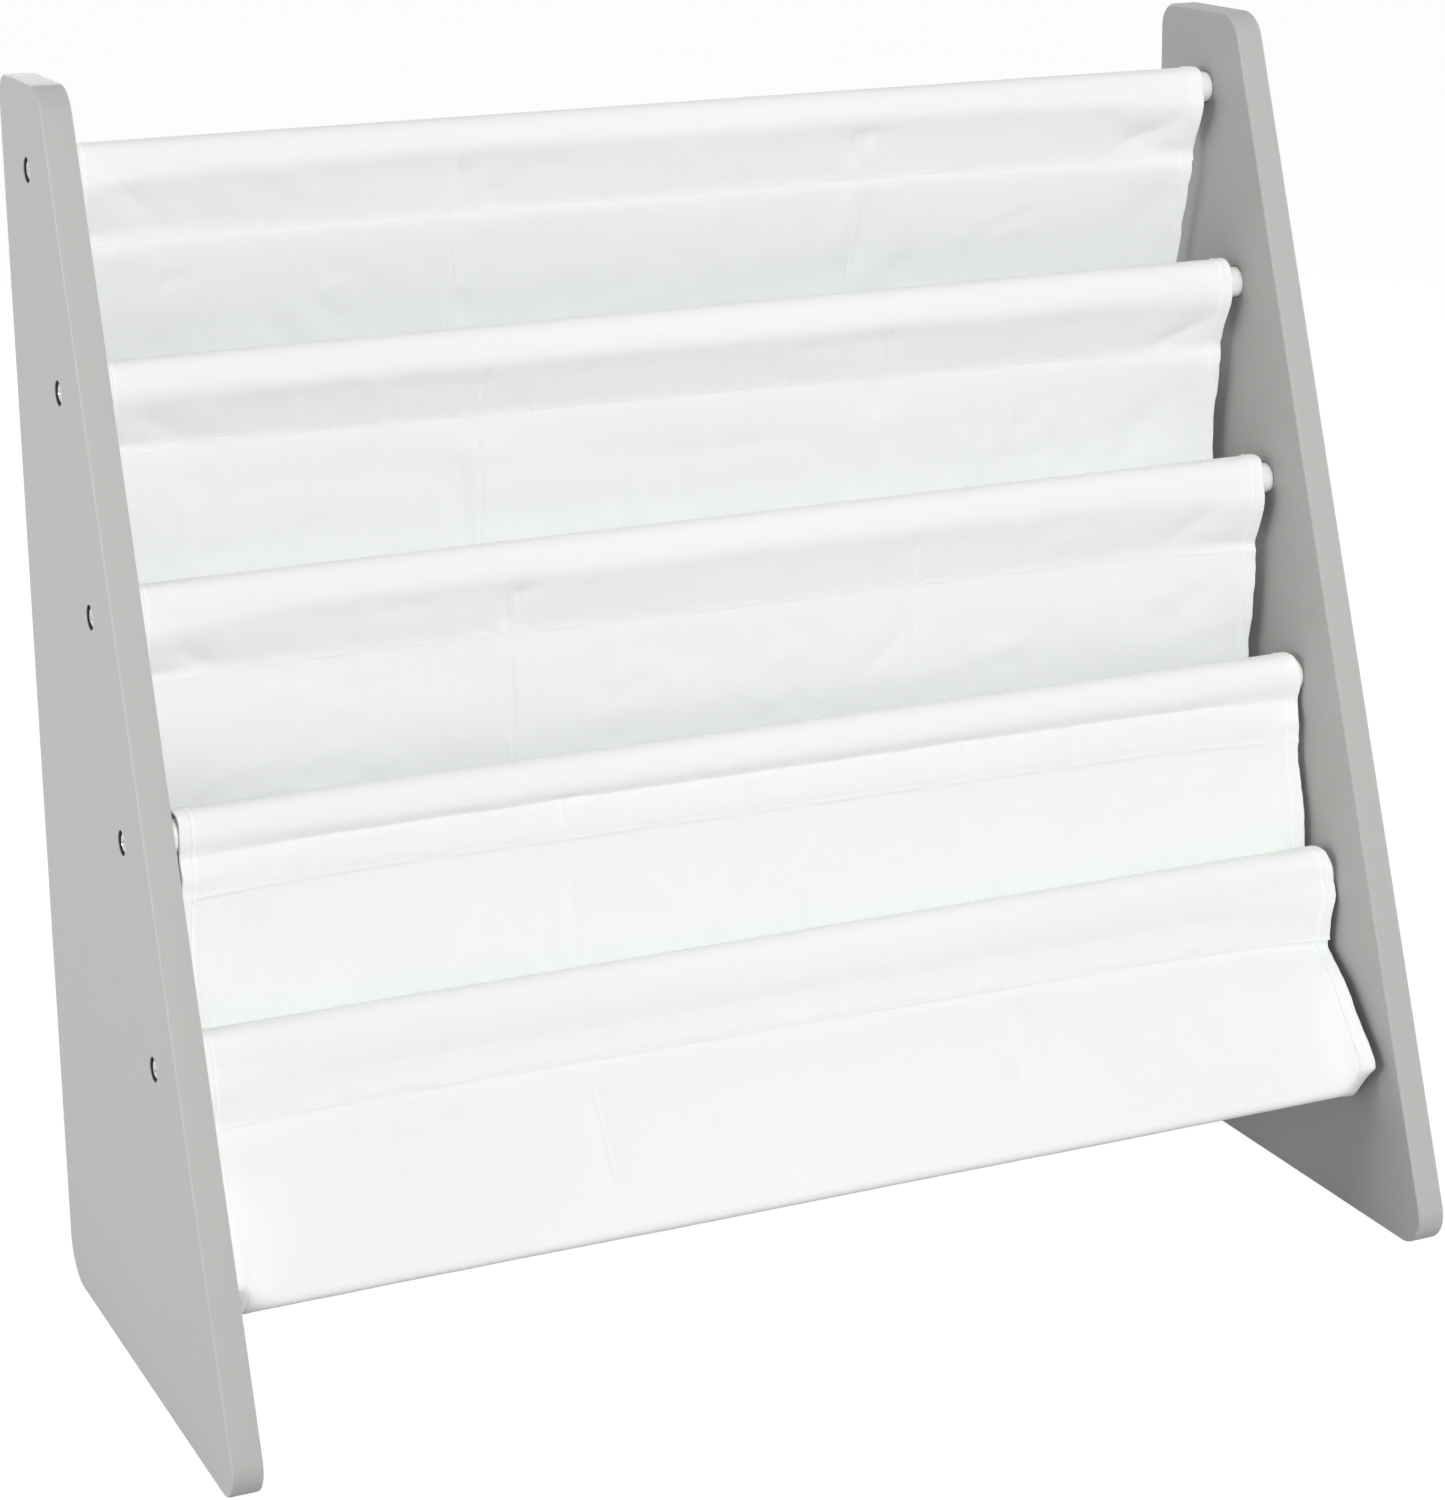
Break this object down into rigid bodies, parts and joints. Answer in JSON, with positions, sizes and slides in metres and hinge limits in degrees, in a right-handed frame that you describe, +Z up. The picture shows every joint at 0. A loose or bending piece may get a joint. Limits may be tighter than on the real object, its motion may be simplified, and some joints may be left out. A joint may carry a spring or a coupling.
{
  "type": "sling bookshelf",
  "caption": "Low freestanding children's book rack: two sloping side panels, round cross rods and a canvas sling that hangs in stepped pockets.",
  "frame": {"origin": "on the floor, in the middle of the rack's footprint", "axes": "+X along the rods to the right as seen from the front, +Y to the back, +Z up"},
  "size_m": [0.644, 0.2776, 0.61],
  "materials": {
    "panel_paint": "satin light grey paint on board",
    "rod_paint": "satin off-white paint on a round dowel",
    "canvas": "white plain-weave cotton canvas",
    "screw_steel": "zinc-plated"
  },
  "bodies": {
    "root": {"left_side_panel": "panel_paint", "right_side_panel": "panel_paint", "left_screw_1": "screw_steel", "left_screw_2": "screw_steel", "left_screw_3": "screw_steel", "left_screw_4": "screw_steel", "left_screw_5": "screw_steel", "right_screw_1": "screw_steel", "right_screw_2": "screw_steel", "right_screw_3": "screw_steel", "right_screw_4": "screw_steel", "right_screw_5": "screw_steel", "rod_1": "rod_paint", "rod_2": "rod_paint", "rod_3": "rod_paint", "rod_4": "rod_paint", "rod_5": "rod_paint", "rod_tunnel_1": "canvas", "rod_tunnel_2": "canvas", "rod_tunnel_3": "canvas", "rod_tunnel_4": "canvas", "rod_tunnel_5": "canvas", "pocket_1": "canvas", "pocket_2": "canvas", "pocket_3": "canvas", "pocket_4": "canvas"}
  },
  "joints": []
}
